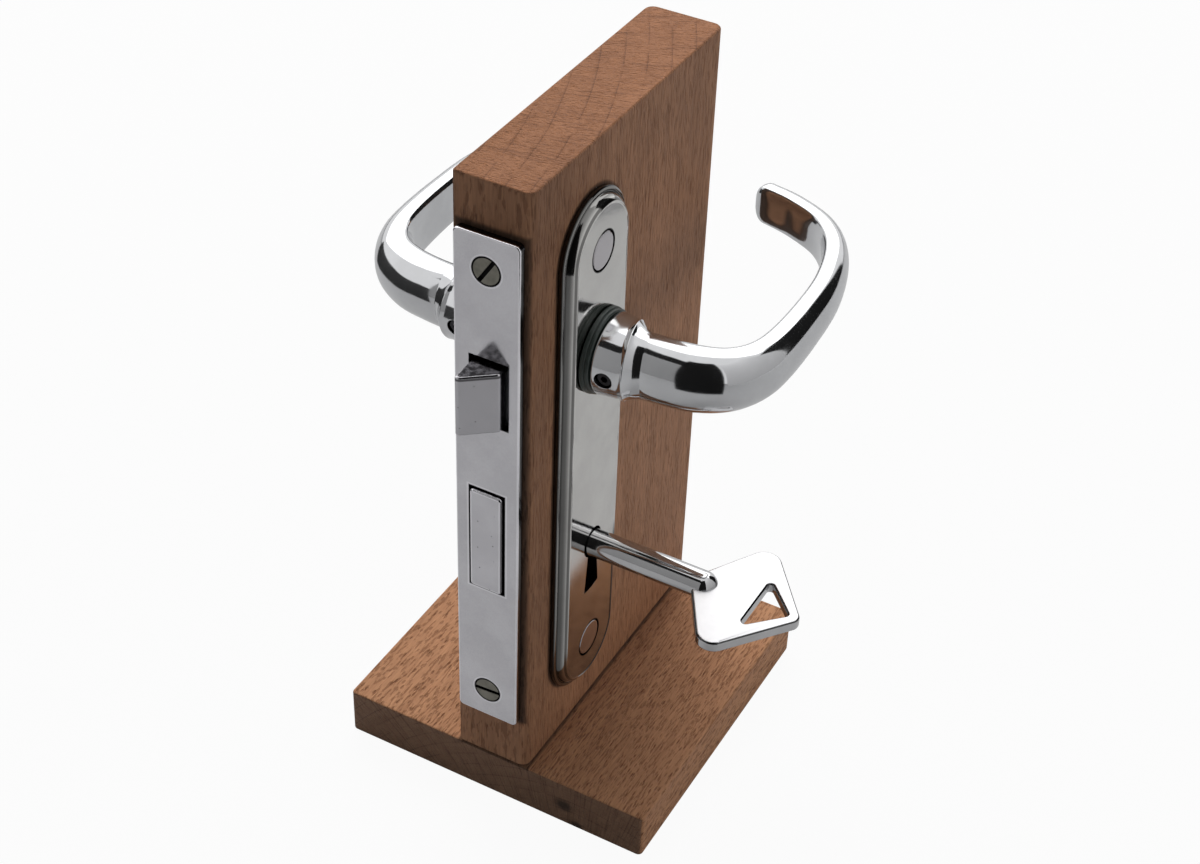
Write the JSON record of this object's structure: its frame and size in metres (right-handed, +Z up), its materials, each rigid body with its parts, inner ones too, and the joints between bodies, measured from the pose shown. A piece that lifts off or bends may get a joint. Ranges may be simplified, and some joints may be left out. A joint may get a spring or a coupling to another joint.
{
  "type": "mortise lock",
  "caption": "Mortise lock with lever handles, sprung latch, deadbolt and bitted key, fitted to a beech display block on a square foot.",
  "frame": {"origin": "centre of the display foot's underside", "axes": "+Z up; -Y out of the forend; +X towards the side the key stands on; the handles and the key turn about lines along X"},
  "size_m": [0.1479, 0.1389, 0.222],
  "materials": {
    "beech_block": "oiled",
    "beech_foot": "oiled",
    "polished_chrome": "polished",
    "satin_steel": "satin",
    "zinc_steel": "zinc plated",
    "brass": "plain",
    "black_nylon": "moulded",
    "spring_steel": "drawn",
    "dark_steel": "blackened"
  },
  "bodies": {
    "mount_block": {"display_foot": "beech_foot", "foot_screw_front": "zinc_steel", "foot_screw_rear": "zinc_steel", "door_block": "beech_block", "lock_case": "zinc_steel", "case_cover": "zinc_steel", "cover_screw_1": "satin_steel", "cover_screw_2": "satin_steel", "cover_screw_3": "satin_steel", "case_pillar_1": "zinc_steel", "case_pillar_2": "zinc_steel", "case_pillar_3": "zinc_steel", "follower_stop_pin": "satin_steel", "bolt_guide_pin": "satin_steel", "tumbler_pivot_pin": "satin_steel", "forend": "polished_chrome", "forend_screw_upper": "satin_steel", "forend_screw_lower": "satin_steel", "latch_spring": "spring_steel", "bush_right": "black_nylon", "bush_left": "black_nylon", "plate_right": "polished_chrome", "plate_left": "polished_chrome", "plate_sleeve_upper": "satin_steel", "plate_sleeve_lower": "satin_steel", "plate_bolt_upper": "satin_steel", "plate_bolt_lower": "satin_steel"},
    "handles": {"handle_right": "polished_chrome", "handle_left": "polished_chrome", "spindle": "satin_steel", "follower": "brass", "grub_screw_right": "dark_steel", "grub_screw_left": "dark_steel"},
    "latch": {"latch_bolt": "polished_chrome"},
    "deadbolt": {"deadbolt": "polished_chrome"},
    "key": {"key": "polished_chrome"},
    "tumbler_a": {"tumbler_1": "brass", "tumbler_leaf_1": "spring_steel"},
    "tumbler_b": {"tumbler_2": "brass", "tumbler_leaf_2": "spring_steel"}
  },
  "joints": [
    {"name": "handle_turn", "type": "hinge", "parent": "mount_block", "child": "handles", "pos_m": [0, -0.023, 0.1585], "axis": [-1, 0, 0], "range_deg": [0, 42], "stiffness_Nm_per_rad": 0.9, "springref_deg": -34.38},
    {"name": "latch_slide", "type": "slide", "parent": "mount_block", "child": "latch", "axis": [0, 1, 0], "range_m": [0, 0.0096], "stiffness_N_per_m": 300, "springref_m": -0.012, "deforming": ["latch_spring"]},
    {"name": "key_turn", "type": "hinge", "parent": "mount_block", "child": "key", "pos_m": [0, -0.023, 0.0885], "axis": [1, 0, 0], "range_deg": [-90, 270]},
    {"name": "deadbolt_slide", "type": "slide", "parent": "mount_block", "child": "deadbolt", "axis": [0, -1, 0], "range_m": [-0.0025, 0.0075]},
    {"name": "tumbler_1_lift", "type": "hinge", "parent": "mount_block", "child": "tumbler_a", "pos_m": [0.0025, 0.0045, 0.106], "axis": [-1, 0, 0], "range_deg": [0, 5], "stiffness_Nm_per_rad": 0.02, "springref_deg": -11.46},
    {"name": "tumbler_2_lift", "type": "hinge", "parent": "mount_block", "child": "tumbler_b", "pos_m": [0.0041, 0.0045, 0.106], "axis": [-1, 0, 0], "range_deg": [0, 5], "stiffness_Nm_per_rad": 0.02, "springref_deg": -11.46}
  ],
  "couplings": [
    {"joint": "latch_slide", "follows": "handle_turn", "m_per_rad": 0.01309},
    {"joint": "key_turn", "follows": "deadbolt_slide", "rad_per_m": 628}
  ]
}
